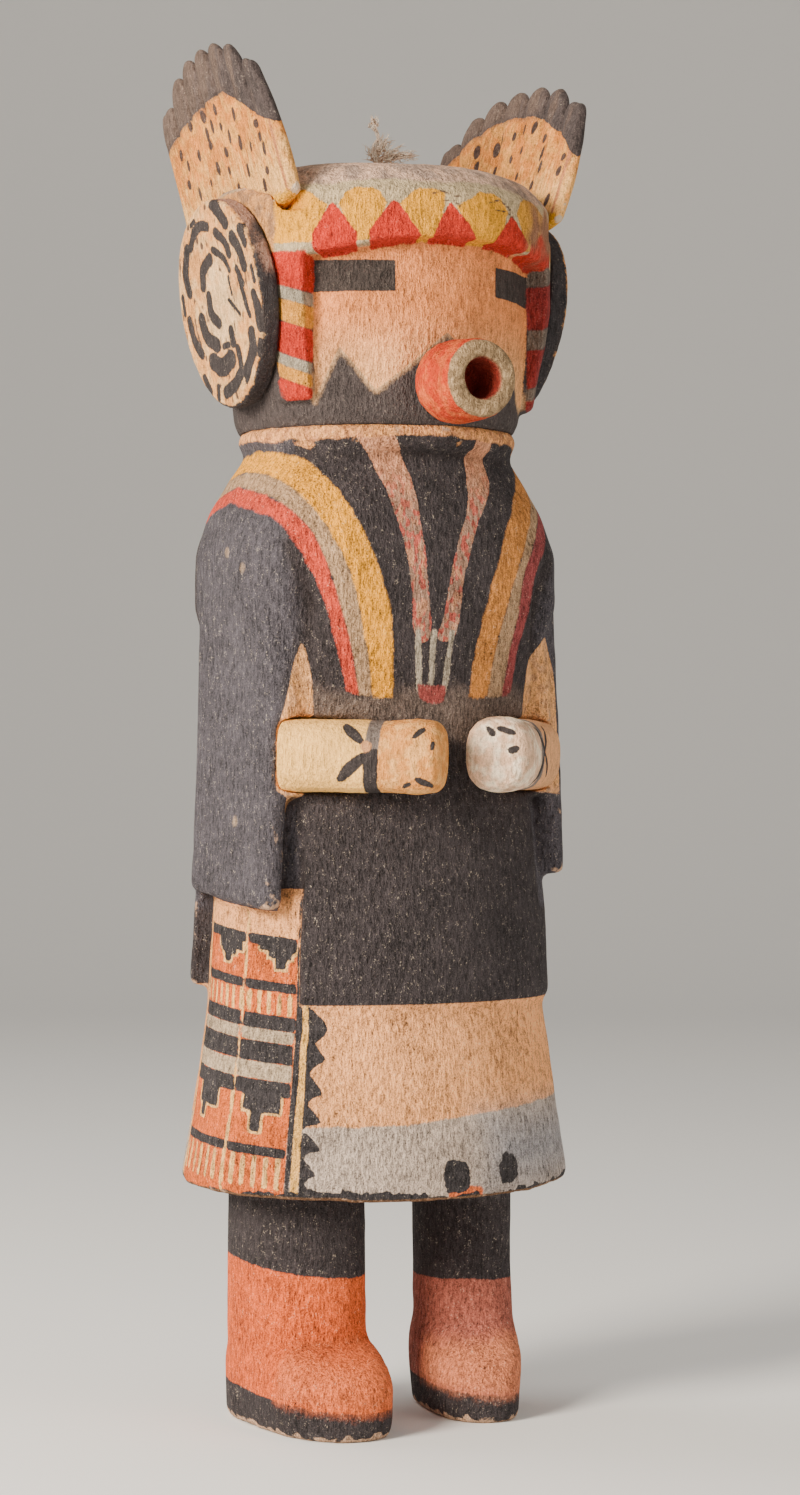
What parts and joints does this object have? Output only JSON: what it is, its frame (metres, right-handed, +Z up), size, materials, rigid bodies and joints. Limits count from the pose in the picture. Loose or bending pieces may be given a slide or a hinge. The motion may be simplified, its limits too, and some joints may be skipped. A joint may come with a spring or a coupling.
{
  "type": "kachina doll",
  "caption": "Carved and painted wooden kachina figure in a case mask with a snout, ear discs and feather fans, dressed in a robe, tunic and kilt, standing on its own feet.",
  "frame": {"origin": "bottom centre of the whole doll's box, on the plane of the soles", "axes": "+Z up the figure, -Y the way its face looks, +X to the figure's left"},
  "size_m": [0.0904, 0.0844, 0.2992],
  "materials": {
    "painted_figure": "matte earth paint on carved cottonwood root, worn pale along the edges",
    "snout_paint": "matte orange-red paint with an olive-grey end",
    "ear_paint": "matte cream-ochre paint with black brush dashes and a black rim",
    "feather_paint": "matte ochre paint with dark spots and grey feather tips",
    "skin_paint": "matte pale ochre paint with black wrist marks",
    "down": "pale down feathers tied on a quill"
  },
  "bodies": {
    "root": {"carved_figure": "painted_figure", "snout": "snout_paint", "right_ear": "ear_paint", "left_ear": "ear_paint", "right_feather_fan": "feather_paint", "left_feather_fan": "feather_paint", "right_forearm": "skin_paint", "left_forearm": "skin_paint", "crown_plume": "down"}
  },
  "joints": []
}
